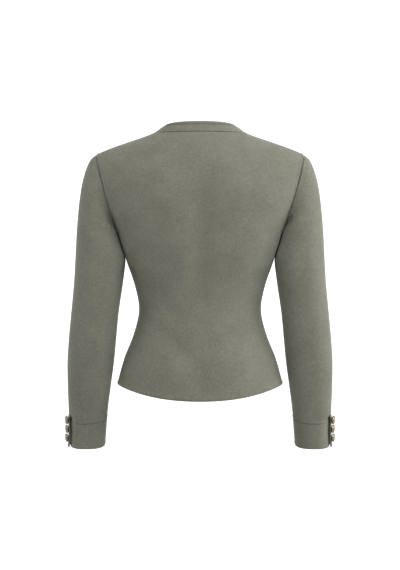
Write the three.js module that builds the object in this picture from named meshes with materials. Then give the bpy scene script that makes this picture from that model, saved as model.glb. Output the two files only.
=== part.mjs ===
// A woman's fitted knit blazer without lapels, as it hangs on a wearer: back, two overlapping fronts,
// two set-in sleeves with buttoned vents, a standing neckband with a rolled edge, and domed buttons.
// Every cloth piece is one closed wall. Millimetres, +Z up, the fronts face -Y, the wearer's left is +X.
// The origin is the middle of the neck opening, level with the back neck seam.
import * as THREE from "three";
import { mergeVertices } from "three/addons/utils/BufferGeometryUtils.js";

// ---- driving sizes -------------------------------------------------------------------------------
const CLOTH = 2.2; // thickness of the double-knit cloth
const HEM_CLOTH = 3.8; // thickness where the hem is turned up
const CUFF_HEM_CLOTH = 2.8; // thickness where a sleeve's hem is turned up
const HEM_DEPTH = 32; // height of the turned-up body hem
const CUFF_HEM_DEPTH = 47; // height of the turned-up sleeve hem
const SEAM_GAP = 0.3; // between two pieces at a seam
const HEM_Z = -492; // hem at the side seams
const UNDERARM_Z = -200;
const UNDERARM_X = 158.6;
const TIP = { x: 202, z: -46 }; // shoulder tip, where the sleeve cap starts
const NECK = { x: 87, z: -4 }; // where the shoulder seam meets the neckband
const SHOULDER_DROP = 38.5; // straight part of the fall from neck to tip
const TIP_DROP = 3.5; // extra fall close to the tip
const SHOULDER_REACH = 232; // how far out the shoulder line runs on, before the armhole cuts it
const NECK_FLARE = 2.2; // rise of the cloth where the shoulder meets the neckband
const ARMHOLE_BOW = 2.5; // how far the armhole seam bows out of a straight line
const ARC_Z = -150; // level of the fullest ring, from which the cloth arcs over the shoulder
const OVERLAP = 20; // the right front laps this far past the middle, and the left front under it
const FRONT_EDGE_GAP = 0.5; // between the lapped fronts
const BUTTON_GAP = 0.8; // between a button's shank and the cloth

// One row per level of the body: half width, depth behind and before the side seam, roundness.
// Above the underarm the half width is that of the body that the armhole is cut from.
const BODY = [
  { z: -492, width: 161.0, back: 102.5, front: 100, round: 2.25 },
  { z: -442, width: 147.0, back: 96, front: 101, round: 2.3 },
  { z: -395, width: 128.7, back: 87.5, front: 99, round: 2.2 },
  { z: -348, width: 118.4, back: 81, front: 97, round: 2.2 },
  { z: -302, width: 126.0, back: 83, front: 102, round: 2.35 },
  { z: -255, width: 142.0, back: 91, front: 109, round: 2.6 },
  { z: -225, width: 151.8, back: 96, front: 113, round: 2.75 },
  { z: -200, width: 158.9, back: 98, front: 113, round: 2.85 },
  { z: -175, width: 171.5, back: 99.5, front: 109, round: 2.85 },
  { z: -150, width: 185.0, back: 100, front: 106, round: 2.8 },
];

// How the back and the fronts differ: sign of y, neck curve, hem dip, and the exponent of the arc over
// the shoulder, at the neck and at the shoulder tip.
const BACK = { sign: 1, column: "back", neckDepth: 50, neckDrop: 0, hemDip: 28, arcNeck: 2.1, arcTip: 2.3 };
const FRONT = {
  sign: -1, column: "front", neckDepth: 68, neckDrop: 82, hemDip: 14, arcNeck: 1.3, arcTip: 2.3,
};
const NECK_ROUND = 2.1; // exponent of the neck curve seen from above
const NECK_FALL = 1.35; // exponent of the front neckline's fall
const NECK_SPREAD = 1.25; // draws the lines of the cloth together toward the middle of the neck
const NECK_BASE_SHARE = 0.51; // share of the fullest ring's half width that runs up to the neck

// Soft forms: a swelling or hollow at (x, z) on one side, on both halves of the garment.
const FORMS = [
  { on: BACK, x: 74, z: -112, lift: 4.5, wide: 40, high: 50 }, // shoulder blade
  { on: BACK, x: 0, z: -215, lift: -5.0, wide: 24, high: 110 }, // hollow over the spine
  { on: BACK, x: 62, z: -455, lift: 4.0, wide: 42, high: 52 }, // seat
  { on: FRONT, x: 80, z: -232, lift: 12.0, wide: 46, high: 48 }, // bust
  { on: FRONT, x: 0, z: -226, lift: 6.0, wide: 54, high: 52 }, // cloth bridging it
  { on: FRONT, x: 0, z: -420, lift: 3.0, wide: 60, high: 60 }, // belly
];

// Soft troughs in the cloth: from one point to another, how deep and how wide, on the stated side.
const FOLDS = [
  { on: BACK, from: [114, -364], to: [26, -438], deep: 3.6, wide: 20 },
  { on: BACK, from: [-114, -352], to: [-52, -398], deep: 1.6, wide: 14 },
  { on: BACK, from: [112, -225], to: [98, -330], deep: 2.4, wide: 16 },
  { on: BACK, from: [-116, -232], to: [-104, -300], deep: 1.6, wide: 14 },
  { on: BACK, from: [6, -452], to: [-4, -505], deep: 2.0, wide: 20 },
  { on: FRONT, from: [108, -352], to: [48, -396], deep: 2.2, wide: 14 },
  { on: FRONT, from: [-110, -346], to: [-58, -384], deep: 1.8, wide: 14 },
];

// One row per section of the left sleeve: its outer and inner points seen from the back, half the
// distance from front to back, and how far its middle lies behind the shoulder line.
const SLEEVE = [
  { outX: 202.0, outZ: -46, inX: 158.6, inZ: -200, deep: 52, y: 0 },
  { outX: 213.0, outZ: -56, inX: 157.4, inZ: -206, deep: 53, y: 0.5 },
  { outX: 222.6, outZ: -77, inX: 155.0, inZ: -214, deep: 54, y: 1.5 },
  { outX: 230.2, outZ: -108, inX: 152.2, inZ: -223, deep: 55, y: 3 },
  { outX: 235.2, outZ: -145, inX: 149.0, inZ: -234, deep: 56, y: 5 },
  { outX: 239.2, outZ: -196, inX: 145.3, inZ: -247, deep: 57, y: 9 },
  { outX: 241.8, outZ: -250, inX: 145.6, inZ: -262, deep: 56.5, y: 11 },
  { outX: 244.6, outZ: -298, inX: 151.0, inZ: -304, deep: 54.5, y: 12 },
  { outX: 249.4, outZ: -348, inX: 158.0, inZ: -352, deep: 52.5, y: 10 },
  { outX: 254.2, outZ: -397, inX: 162.8, inZ: -400, deep: 50.5, y: 7 },
  { outX: 257.9, outZ: -446, inX: 167.6, inZ: -448, deep: 48, y: 0 },
  { outX: 258.0, outZ: -494, inX: 174.2, inZ: -495, deep: 45.5, y: -8 },
  { outX: 257.0, outZ: -540, inX: 180.4, inZ: -540, deep: 43, y: -17 },
  { outX: 256.0, outZ: -580, inX: 183.8, inZ: -580, deep: 41.5, y: -24 },
  { outX: 257.4, outZ: -613.5, inX: 186.6, inZ: -613.5, deep: 40.5, y: -29 },
];
const SLEEVE_ROUND = 2.45;
const CAP_BLEND = 5; // sections over which the armhole's outline turns into the arm's

// The vent: an opening up from the cuff whose front edge laps over its back edge and holds the buttons.
const VENT = {
  height: 66,
  edge: 30, // degrees behind the outermost line, where the lapping edge lies
  tuck: 28, // degrees that the under layer reaches forward below it
  lift: 3.6, // how far the lapping edge stands off
  sink: 4.2, // how far the under layer's edge lies in
  flare: 40, // degrees over which the lift dies away
  fade: 62, // and over which the under layer's sinking does
  part: 12, // length over which the two layers part
};
const VENT_ROWS = [0.18, 0.4, 0.7, 1]; // sections below the top of the vent, as shares of its height

// Standing neckband and its rolled edge, with the lean from upright at the back, side and front. The
// rolled edge is lower at the sides, by the share "sides" of its height.
const BAND = { foot: 0.3, height: 15.2, thick: 2.4, leanBack: 27, leanSide: 52, leanFront: 40 };
const ROLL = { foot: 16.1, height: 8.0, sides: 0.42, thick: 3.4, inset: -0.3, round: 0.5 };

// Domed shank button, as shares of its radius: [radius, height] from the shank to the crown.
const BUTTON_PROFILE = [
  [0, 0], [0.34, 0], [0.34, 0.16], [0.9, 0.19], [1, 0.26], [0.97, 0.38],
  [0.84, 0.42], [0.77, 0.36], [0.66, 0.44], [0.36, 0.57], [0, 0.61],
];
const BUTTON_SEGMENTS = 14;
const CUFF_BUTTON = { radius: 8.3, turn: 20, tilt: 12, spacing: 17.7, count: 3, aboveCuff: 18.5 };
const FRONT_BUTTON = { radius: 10.5, top: -113, spacing: 76, count: 5 };

// Numbers of columns and rows in the walls.
const NECK_COLUMNS = 5;
const SHOULDER_COLUMNS = 8;
const LOWER_ROWS = 11;
const UNDERARM_ROWS = 4;
const ARC_ROWS = 7;

// ---- small helpers -------------------------------------------------------------------------------
const radians = THREE.MathUtils.degToRad;
const lerp = THREE.MathUtils.lerp;
const smooth = (value, low, high) => THREE.MathUtils.smoothstep(value, low, high);
const power = (value, exponent) => Math.sign(value) * Math.abs(value) ** exponent;

// Value of a table's column at a key, on a cubic through the rows.
function sample(table, key, column, at) {
  const last = table.length - 1;
  const rising = table[last][key] > table[0][key] ? 1 : -1;
  let i = 0;
  while (i < last - 1 && (at - table[i + 1][key]) * rising > 0) i++;
  const slope = (k) => {
    const a = table[Math.max(k - 1, 0)];
    const b = table[Math.min(k + 1, last)];
    return (b[column] - a[column]) / (b[key] - a[key]);
  };
  const span = table[i + 1][key] - table[i][key];
  const t = THREE.MathUtils.clamp((at - table[i][key]) / span, 0, 1);
  return (
    table[i][column] * (1 + 2 * t) * (1 - t) ** 2 + table[i + 1][column] * t * t * (3 - 2 * t) +
    span * (slope(i) * t * (1 - t) ** 2 + slope(i + 1) * t * t * (t - 1))
  );
}

// Root of a rising function between two values.
function solve(rising, low, high) {
  for (let n = 0; n < 40; n++) {
    const middle = (low + high) / 2;
    if (rising(middle) > 0) high = middle;
    else low = middle;
  }
  return (low + high) / 2;
}

// ---- the body's surface --------------------------------------------------------------------------
// A place on it is a turn, 0 in the middle to a quarter at the side seam, and a level. Levels up to
// ARC_Z are heights; from there to TOP they run along the arc over the shoulder.
const TOP = ARC_Z + 100;
const QUARTER = Math.PI / 2;
const Z = new THREE.Vector3(0, 0, 1);

function ring(side, turn, z) {
  const width = sample(BODY, "z", "width", z);
  const depth = sample(BODY, "z", side.column, z);
  const exponent = 2 / sample(BODY, "z", "round", z);
  return new THREE.Vector2(width * power(Math.sin(turn), exponent), depth * power(Math.cos(turn), exponent));
}

function shoulderZ(x) {
  const share = (x - NECK.x) / (TIP.x - NECK.x);
  return NECK.z - SHOULDER_DROP * share - TIP_DROP * share ** 6 + NECK_FLARE * Math.exp(-14 * share);
}

// The top edge above a point of the fullest ring: the neck seam, then the shoulder seam.
function topEdge(side, baseX, fullWidth) {
  const neckBase = fullWidth * NECK_BASE_SHARE;
  if (baseX > neckBase) {
    const x = lerp(NECK.x, SHOULDER_REACH, (baseX - neckBase) / (fullWidth - neckBase));
    return new THREE.Vector3(x, 0, shoulderZ(x));
  }
  const angle = (baseX / neckBase) ** NECK_SPREAD * QUARTER;
  const exponent = 2 / NECK_ROUND;
  return new THREE.Vector3(
    NECK.x * power(Math.sin(angle), exponent),
    side.neckDepth * power(Math.cos(angle), exponent),
    NECK.z - side.neckDrop * Math.cos(angle) ** NECK_FALL + NECK_FLARE * Math.sin(angle) ** 12,
  );
}

// Body surface without its soft forms. Depth counts away from the side seam.
function bodyBase(side, turn, level) {
  const half = Math.abs(turn);
  if (level <= ARC_Z) {
    const { x, y } = ring(side, half, level);
    const dip = side.hemDip * Math.cos(half) ** 2 * (1 - smooth(level, HEM_Z, BODY[3].z));
    return new THREE.Vector3(x * Math.sign(turn || 1), y, level - dip);
  }
  const base = ring(side, half, ARC_Z);
  const fullWidth = ring(side, QUARTER, ARC_Z).x;
  const top = topEdge(side, base.x, fullWidth);
  const outward = smooth(base.x / fullWidth, NECK_BASE_SHARE * 0.8, 1);
  const exponent = 2 / lerp(side.arcNeck, side.arcTip, outward);
  const share = Math.min(top.y / Math.max(base.y, 1e-6), 1);
  const endAngle = Math.acos(Math.min(share ** (1 / exponent), 1));
  const climb = Math.min((level - ARC_Z) / (TOP - ARC_Z), 1);
  const angle = endAngle * climb;
  const rise = endAngle > 1e-4 ? (Math.sin(angle) / Math.sin(endAngle)) ** exponent : climb;
  const y = base.y < 1e-6 ? 0 : base.y * Math.cos(angle) ** exponent;
  return new THREE.Vector3(lerp(base.x, top.x, rise) * Math.sign(turn || 1), y, lerp(ARC_Z, top.z, rise));
}

// Rise and fall of the cloth at a point: swellings, hollows and troughs.
function relief(side, x, z) {
  let height = 0;
  for (const form of FORMS) {
    if (form.on !== side) continue;
    const across = (Math.abs(x) - form.x) / form.wide;
    const up = (z - form.z) / form.high;
    height += form.lift * Math.exp(-(across ** 2) - up ** 2);
  }
  for (const fold of FOLDS) {
    if (fold.on !== side) continue;
    const line = new THREE.Line3(new THREE.Vector3(...fold.from, 0), new THREE.Vector3(...fold.to, 0));
    const point = new THREE.Vector3(x, z, 0);
    const along = line.closestPointToPointParameter(point, false);
    const nearest = line.closestPointToPoint(point, true, new THREE.Vector3());
    const ends = Math.exp(-((Math.max(0, Math.abs(along - 0.5) - 0.3) * 2.2) ** 2));
    height -= fold.deep * ends * Math.exp(-((nearest.distanceTo(point) / fold.wide) ** 2));
  }
  return height;
}

// A point of the outer surface, in space.
function bodyPoint(side, turn, level) {
  const point = bodyBase(side, turn, level);
  const depth = point.y;
  const fade = smooth(depth, 0, 60) * (1 - 0.75 * smooth(level, ARC_Z, TOP));
  return new THREE.Vector3(point.x, side.sign * (depth + relief(side, point.x, point.z) * fade), point.z);
}

function bodyNormal(side, turn, level) {
  const step = 0.004;
  const turnLow = Math.max(turn - step, -QUARTER);
  const turnHigh = Math.min(turn + step, QUARTER);
  const levelLow = Math.max(level - 0.4, HEM_Z);
  const levelHigh = Math.min(level + 0.4, TOP);
  const across = bodyPoint(side, turnHigh, level).sub(bodyPoint(side, turnLow, level));
  const up = bodyPoint(side, turn, levelHigh).sub(bodyPoint(side, turn, levelLow));
  return across.cross(up).multiplyScalar(-side.sign).normalize();
}

// ---- armhole -------------------------------------------------------------------------------------
function armholeX(z) {
  const share = THREE.MathUtils.clamp((z - UNDERARM_Z) / (TIP.z - UNDERARM_Z), 0, 1);
  return lerp(UNDERARM_X, TIP.x, share) + ARMHOLE_BOW * Math.sin(share * Math.PI);
}

// Turn at which a row of the body ends: the side seam, or the armhole above it.
function edgeTurn(side, level) {
  if (level <= UNDERARM_Z) return QUARTER;
  const past = (turn) => {
    const point = bodyBase(side, turn, level);
    return point.x - armholeX(point.z);
  };
  return solve(past, 0.2, QUARTER);
}

// Level of each row, from the hem up to the neck and shoulder.
const LEVELS = [];
for (let i = 0; i < LOWER_ROWS; i++) LEVELS.push(lerp(HEM_Z, UNDERARM_Z, i / LOWER_ROWS));
for (let i = 0; i < UNDERARM_ROWS; i++) LEVELS.push(lerp(UNDERARM_Z, ARC_Z, (i / UNDERARM_ROWS) ** 1.3));
for (let i = 0; i <= ARC_ROWS; i++) LEVELS.push(lerp(ARC_Z, TOP, i / ARC_ROWS));

// Direction from the middle of the armhole to one of its points, which both walls at that seam share.
const ARMHOLE_MIDDLE = new THREE.Vector3((TIP.x + UNDERARM_X) / 2, 0, (TIP.z + UNDERARM_Z) / 2);
const ARMHOLE_AXIS = new THREE.Vector3(TIP.z - UNDERARM_Z, 0, -(TIP.x - UNDERARM_X)).normalize();

function armholeOutward(point) {
  const out = point.clone().sub(ARMHOLE_MIDDLE);
  out.addScaledVector(ARMHOLE_AXIS, -out.dot(ARMHOLE_AXIS));
  return out.normalize();
}

// ---- walls ---------------------------------------------------------------------------------------
// Turns a closed geometry's faces outward when they point in, which its signed volume shows.
function facingOut(geometry) {
  const position = geometry.getAttribute("position");
  const index = Array.from(geometry.index.array);
  const [a, b, c] = [new THREE.Vector3(), new THREE.Vector3(), new THREE.Vector3()];
  let volume = 0;
  for (let i = 0; i < index.length; i += 3) {
    [a, b, c].forEach((corner, k) => corner.fromBufferAttribute(position, index[i + k]));
    volume += a.dot(b.cross(c));
  }
  if (volume < 0) index.reverse();
  return geometry.setIndex(index);
}

// A closed wall between two grids of points. Rows may close on themselves down to the row "split".
function wall(outer, inner, split = -1) {
  const rows = outer.length;
  const columns = outer[0].length;
  const positions = [];
  for (const p of [...outer.flat(), ...inner.flat()]) positions.push(p.x, p.y, p.z);
  const at = (layer, row, column) => {
    const wrapped = row <= split && column === columns - 1 ? 0 : column;
    return (layer * rows + row) * columns + wrapped;
  };
  const index = [];
  const quad = (a, b, c, d) => index.push(a, b, c, a, c, d);
  const across = [outer, inner].map((grid) => (r, c) =>
    grid[r][c].distanceTo(grid[r + 1][c + 1]) > grid[r][c + 1].distanceTo(grid[r + 1][c]));
  for (let r = 0; r < rows - 1; r++) {
    for (let c = 0; c < columns - 1; c++) {
      // Each face is split along its shorter diagonal, which keeps slanting faces smooth.
      const corners = (layer) =>
        [[r, c], [r, c + 1], [r + 1, c + 1], [r + 1, c]].map(([row, column]) => at(layer, row, column));
      const turned = ([p, q, s, t], turn) => (turn ? [q, s, t, p] : [p, q, s, t]);
      quad(...turned(corners(0), across[0](r, c)));
      quad(...turned(corners(1), across[1](r, c)).reverse());
    }
    if (r >= split) {
      quad(at(0, r, 0), at(0, r + 1, 0), at(1, r + 1, 0), at(1, r, 0));
      const last = columns - 1;
      quad(at(1, r, last), at(1, r + 1, last), at(0, r + 1, last), at(0, r, last));
    }
  }
  for (let c = 0; c < columns - 1; c++) {
    quad(at(0, 0, c + 1), at(0, 0, c), at(1, 0, c), at(1, 0, c + 1));
    quad(at(0, rows - 1, c), at(0, rows - 1, c + 1), at(1, rows - 1, c + 1), at(1, rows - 1, c));
  }
  const geometry = new THREE.BufferGeometry();
  geometry.setAttribute("position", new THREE.Float32BufferAttribute(positions, 3));
  geometry.setIndex(index);
  return facingOut(mergeVertices(geometry, 1e-3));
}

function material(colour, roughness, metalness = 0) {
  return new THREE.MeshStandardMaterial({ color: colour, roughness, metalness });
}
const knit = () => material(0x7b7b6e, 0.95);
const metal = () => material(0x9c8468, 0.35, 0.9);

function named(name, geometry, finish) {
  const mesh = new THREE.Mesh(geometry, finish);
  mesh.name = name;
  return mesh;
}

// Mirror image of a geometry in the plane between the garment's halves.
function mirrored(geometry) {
  return facingOut(geometry.clone().applyMatrix4(new THREE.Matrix4().makeScale(-1, 1, 1)));
}

// ---- back and fronts -----------------------------------------------------------------------------
// Shares of the way from the middle to the side edge, with one column on the corner at the neck.
const NECK_TURN = Math.asin(NECK_BASE_SHARE ** (sample(BODY, "z", "round", ARC_Z) / 2)) / QUARTER;
const HALF_COLUMNS = [];
for (let i = 0; i <= NECK_COLUMNS; i++) HALF_COLUMNS.push((NECK_TURN * i) / NECK_COLUMNS);
for (let i = 1; i <= SHOULDER_COLUMNS; i++) HALF_COLUMNS.push(lerp(NECK_TURN, 1, i / SHOULDER_COLUMNS));

// Turn of a column: past the corner at the neck the columns crowd toward a nearer edge.
function columnTurn(share, edge) {
  const past = Math.max(0, share - NECK_TURN) / (1 - NECK_TURN);
  return share * QUARTER - (QUARTER - edge) * past ** 1.5;
}

function clothThickness(level) {
  return lerp(HEM_CLOTH, CLOTH, smooth(level, HEM_Z + HEM_DEPTH - 6, HEM_Z + HEM_DEPTH + 6));
}

// Outer and inner point of a panel, with the wall turned where it meets the sleeve or neckband.
function panelPair(side, turn, level, onArmhole, sunk = 0) {
  const point = bodyPoint(side, turn, level);
  const normal = bodyNormal(side, turn, level);
  const atNeck = level >= TOP && Math.abs(point.x) < NECK.x + 0.5;
  let inward = normal;
  if (onArmhole) {
    inward = armholeOutward(new THREE.Vector3(Math.abs(point.x), point.y, point.z));
    inward.x *= Math.sign(point.x);
  } else if (atNeck) {
    inward = neckFrame(point).out;
  }
  const outer = point.clone().addScaledVector(inward, -sunk);
  const inner = outer.clone().addScaledVector(inward, -clothThickness(level));
  for (const p of [outer, inner]) p.y = side.sign * Math.max(side.sign * p.y, SEAM_GAP / 2);
  return [outer, inner];
}

// A panel from rows of turns; each row tells which of its ends lie on an armhole.
function panel(side, turnsOfRow, sunk = () => 0) {
  const outer = [];
  const inner = [];
  for (const level of LEVELS) {
    const edge = edgeTurn(side, level);
    const armhole = level >= UNDERARM_Z - 1e-6;
    const pairs = turnsOfRow(level, edge).map((turn) => {
      const depth = sunk(bodyBase(side, turn, level).x, clothThickness(level));
      return panelPair(side, turn, level, armhole && Math.abs(Math.abs(turn) - edge) < 1e-9, depth);
    });
    if (side.sign > 0) pairs.reverse();
    outer.push(pairs.map((pair) => pair[0]));
    inner.push(pairs.map((pair) => pair[1]));
  }
  return wall(outer, inner);
}

function backPanel() {
  const turns = (level, edge) => [
    ...HALF_COLUMNS.slice(1).reverse().map((share) => -columnTurn(share, edge)),
    ...HALF_COLUMNS.map((share) => columnTurn(share, edge)),
  ];
  return panel(BACK, turns);
}

// Turn at which a row of the front reaches a distance from the middle.
function turnAtX(level, x) {
  return solve((turn) => bodyBase(FRONT, turn, level).x - x, 0, QUARTER);
}

// A front runs from its lap past the middle to the side seam, on the half that "half" gives.
function frontTurns(half) {
  return (level, edge) => {
    const lap = turnAtX(level, OVERLAP);
    const lapTurns = [-lap, -lap / 2, 0, lap / 2, lap];
    const sideTurns = HALF_COLUMNS.slice(2).map((share) => columnTurn(share, edge));
    const turns = [...lapTurns, ...sideTurns].map((turn) => turn * half);
    return half < 0 ? turns.reverse() : turns;
  };
}

// How far the left end of a lap sinks below the right one, for cloth of a thickness.
function underLap(x, thick) {
  return (thick + FRONT_EDGE_GAP) * (1 - smooth(x, OVERLAP + 2, OVERLAP + 26));
}

// ---- sleeve --------------------------------------------------------------------------------------
// Points of the left armhole seam, from the underarm up the back, over the tip and down the front.
function armholeLoop() {
  const points = (side) =>
    LEVELS.filter((level) => level >= UNDERARM_Z - 1e-6)
      .map((level) => bodyPoint(side, edgeTurn(side, level), level));
  const back = points(BACK);
  const front = points(FRONT);
  return [...back, ...front.reverse().slice(1)];
}

// Middle, half-width vector and depth vector of the sleeve's section number v.
function sleeveSection(v) {
  const row = (column, at) => sample(SLEEVE_ROWS, "row", column, at);
  const outerAt = (at) => new THREE.Vector3(row("outX", at), row("y", at), row("outZ", at));
  const innerAt = (at) => new THREE.Vector3(row("inX", at), row("y", at), row("inZ", at));
  const middleAt = (at) => outerAt(at).lerp(innerAt(at), 0.5);
  const middle = middleAt(v);
  const half = outerAt(v).sub(middle);
  const along = middleAt(Math.min(v + 0.3, SLEEVE.length - 1)).sub(middleAt(Math.max(v - 0.3, 0)));
  const pitch = smooth(v, 2, 8); // the sections lean with the forearm, and stay upright at the armhole
  const back = new THREE.Vector3(0, 1, 0).addScaledVector(along, (-along.y / along.lengthSq()) * pitch);
  return { middle, half, back: back.normalize().multiplyScalar(row("deep", v)) };
}
const SLEEVE_ROWS = SLEEVE.map((section, row) => ({ row, ...section }));

function sleevePoint(section, angle) {
  const exponent = 2 / SLEEVE_ROUND;
  return section.middle
    .clone()
    .addScaledVector(section.half, power(Math.cos(angle), exponent))
    .addScaledVector(section.back, power(Math.sin(angle), exponent));
}

// Angle of a point of the armhole in the sleeve's first section: 0 at the tip, a quarter at the back.
function angleIn(section, point) {
  const from = point.clone().sub(section.middle);
  const across = power(from.dot(section.half) / section.half.lengthSq(), SLEEVE_ROUND / 2);
  const behind = power(from.dot(section.back) / section.back.lengthSq(), SLEEVE_ROUND / 2);
  return Math.atan2(behind, across);
}

// Sections of the sleeve as numbers of the table's rows; "split" is the one where the vent starts.
function sleeveStations() {
  const last = SLEEVE.length - 1;
  const zAt = (v) => sample(SLEEVE_ROWS, "row", "outZ", v);
  const cuffZ = zAt(last);
  const atHeight = (height) => solve((v) => cuffZ + height - zAt(v), 6, last);
  const ventTop = atHeight(VENT.height);
  const stations = [0, 0.35, 0.75, 1.25, 1.9, 2.7, 3.6, 4.6, 5.6, 6.6, 7.6, 8.6, 9.6, 10.6, 11.6];
  const split = stations.length;
  const below = VENT_ROWS.map((share) => atHeight(VENT.height * (1 - share)));
  return { stations: [...stations, ventTop, ...below], split, ventTop, atHeight };
}

// The sleeve's outer point and outward direction, seen in its own section.
function sleeveGrid() {
  const loop = armholeLoop();
  const first = sleeveSection(0);
  // Columns start at the vent's edge and run forward over the outside, so the loop is turned round.
  const start = radians(VENT.edge);
  const angles = loop.map((point) => angleIn(first, point));
  const nearest = (list, goal) =>
    list.reduce((best, angle, i) => (Math.abs(angle - goal) < Math.abs(list[best] - goal) ? i : best), 0);
  const startIndex = nearest(angles.slice(0, nearest(angles, 0)), start);
  const count = loop.length - 1;
  const order = Array.from({ length: count + 1 }, (_, k) => (startIndex + k) % count);
  const unwrapped = [];
  order.forEach((i, k) => {
    let angle = angles[i];
    while (k && angle > unwrapped[k - 1] + 1e-9) angle -= 2 * Math.PI;
    unwrapped.push(angle);
  });
  unwrapped[count] = unwrapped[0] - 2 * Math.PI;
  const { stations, split, ventTop, atHeight } = sleeveStations();
  const opened = atHeight(VENT.height - VENT.part);
  const outer = [];
  const inner = [];
  stations.forEach((v, r) => {
    const section = sleeveSection(v);
    const even = smooth(v, 0, CAP_BLEND + 1);
    const left = 1 - smooth(v, 0, CAP_BLEND);
    const parted = smooth(v, ventTop, opened);
    const tucked = smooth(v, opened, atHeight(VENT.height - 3 * VENT.part));
    const rowOuter = [];
    const rowInner = [];
    order.forEach((i, k) => {
      const regular = start - (k / count) * 2 * Math.PI;
      let angle = lerp(unwrapped[k], regular, even);
      const behindEdge = start - angle; // 0 on the lapping edge, a full turn on the edge below it
      const below = smooth(behindEdge, 2 * Math.PI - radians(VENT.fade), 2 * Math.PI);
      const above = 1 - smooth(behindEdge, 0, radians(VENT.flare));
      angle -= radians(VENT.tuck) * tucked * below ** 4;
      const point = sleevePoint(section, angle);
      const offset = loop[i].clone().sub(sleevePoint(first, unwrapped[k])).multiplyScalar(left);
      point.add(offset);
      const step = 0.02;
      const tangent = sleevePoint(section, angle - step).sub(sleevePoint(section, angle + step));
      const ahead = sleeveSection(Math.min(v + 0.1, SLEEVE.length - 1));
      const behind = sleeveSection(Math.max(v - 0.1, 0));
      const down = sleevePoint(ahead, angle).sub(sleevePoint(behind, angle));
      const normal = tangent.cross(down).normalize();
      if (normal.dot(point.clone().sub(section.middle)) < 0) normal.negate();
      const outward = r === 0 ? armholeOutward(loop[i]) : normal;
      point.addScaledVector(outward, parted * (VENT.lift * above - VENT.sink * below));
      if (r === 0) point.addScaledVector(ARMHOLE_AXIS, SEAM_GAP + 0.05);
      if (r > split && k === 0) point.addScaledVector(tangent.normalize(), SEAM_GAP);
      const turnedUp = smooth(v, atHeight(CUFF_HEM_DEPTH + 4), atHeight(CUFF_HEM_DEPTH - 4));
      const thick = lerp(CLOTH, CUFF_HEM_CLOTH, turnedUp);
      rowOuter.push(point);
      rowInner.push(point.clone().addScaledVector(outward, -thick));
    });
    outer.push(rowOuter);
    inner.push(rowInner);
  });
  return { outer, inner, split };
}

function leftSleeve() {
  const { outer, inner, split } = sleeveGrid();
  for (const grid of [outer, inner]) grid.forEach((row, r) => r <= split && (row[row.length - 1] = row[0]));
  return wall(outer, inner, split);
}

// ---- neckband ------------------------------------------------------------------------------------
// Directions up the band and out of it at a point of the neck seam.
function neckFrame(point) {
  const [depth, leanMiddle] = point.y > 0 ? [BACK.neckDepth, BAND.leanBack] : [FRONT.neckDepth, BAND.leanFront];
  const inward = new THREE.Vector3(-point.x / NECK.x ** 2, -point.y / depth ** 2, 0).normalize();
  const lean = radians(lerp(BAND.leanSide, leanMiddle, smooth(Math.abs(inward.y), 0.5, 1)));
  const up = inward.clone().multiplyScalar(Math.sin(lean)).addScaledVector(Z, Math.cos(lean));
  const out = inward.clone().multiplyScalar(-Math.cos(lean)).addScaledVector(Z, Math.sin(lean));
  return { up, out };
}

// The neck seam from the lap of the right front, round the back, to the left front's end under it, for a
// strip of a thickness.
function neckSeam(thick) {
  const points = [];
  const onFront = (half, sunk) => {
    return frontTurns(half)(TOP, edgeTurn(FRONT, TOP)).map((turn) => {
      const point = bodyPoint(FRONT, turn, TOP);
      const distance = sunk(point.x, thick);
      return point.addScaledVector(neckFrame(point).out, -distance);
    }).filter((point) => Math.abs(point.x) < NECK.x + 0.5);
  };
  points.push(...onFront(-1, () => 0).reverse());
  const back = HALF_COLUMNS.slice(0, NECK_COLUMNS + 1).map((share) => share * QUARTER);
  const turns = [...back.slice(1, -1).reverse().map((turn) => -turn), ...back.slice(0, -1)];
  points.push(...turns.map((turn) => bodyPoint(BACK, turn, TOP)));
  points.push(...onFront(1, underLap).reverse());
  return points;
}

// A strip of the neckband between two heights above the seam.
function neckStrip({ foot, height, sides = 1, thick, inset = 0, round = 0 }, heights) {
  const seam = neckSeam(thick);
  const outer = [];
  const inner = [];
  for (const share of heights) {
    const rowOuter = [];
    const rowInner = [];
    for (const point of seam) {
      const { up, out } = neckFrame(point);
      const bulge = Math.sqrt(Math.max(0, 1 - (2 * share - 1) ** 2));
      const rounded = (thick / 2) * (1 - round + round * bulge);
      const tall = height * lerp(1, sides, Math.min(1, (point.x / NECK.x) ** 2));
      const middle = point.clone().addScaledVector(up, foot + tall * share);
      middle.addScaledVector(out, -thick / 2 - inset);
      rowOuter.push(middle.clone().addScaledVector(out, rounded));
      rowInner.push(middle.clone().addScaledVector(out, -rounded));
    }
    outer.push(rowOuter);
    inner.push(rowInner);
  }
  return wall(outer, inner);
}

// ---- buttons -------------------------------------------------------------------------------------
function button(radius) {
  const profile = BUTTON_PROFILE.map(([share, height]) => new THREE.Vector2(share * radius, height * radius));
  const lathe = new THREE.LatheGeometry(profile, BUTTON_SEGMENTS);
  lathe.deleteAttribute("normal");
  lathe.deleteAttribute("uv");
  return facingOut(mergeVertices(lathe, 1e-3));
}

// A button whose shank stands on a point of the cloth and points along its normal.
function placed(radius, point, normal) {
  const turn = new THREE.Quaternion().setFromUnitVectors(new THREE.Vector3(0, 1, 0), normal);
  const seat = point.clone().addScaledVector(normal, BUTTON_GAP);
  const matrix = new THREE.Matrix4().compose(seat, turn, new THREE.Vector3(1, 1, 1));
  return button(radius).applyMatrix4(matrix);
}

function frontButtons() {
  return Array.from({ length: FRONT_BUTTON.count }, (_, i) => {
    const height = FRONT_BUTTON.top - i * FRONT_BUTTON.spacing;
    const level = solve((at) => bodyPoint(FRONT, 0, at).z - height, HEM_Z, TOP);
    const point = bodyPoint(FRONT, 0, level);
    const geometry = placed(FRONT_BUTTON.radius, point, bodyNormal(FRONT, 0, level));
    return named(`front_button_${i + 1}`, geometry, metal());
  });
}

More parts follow.
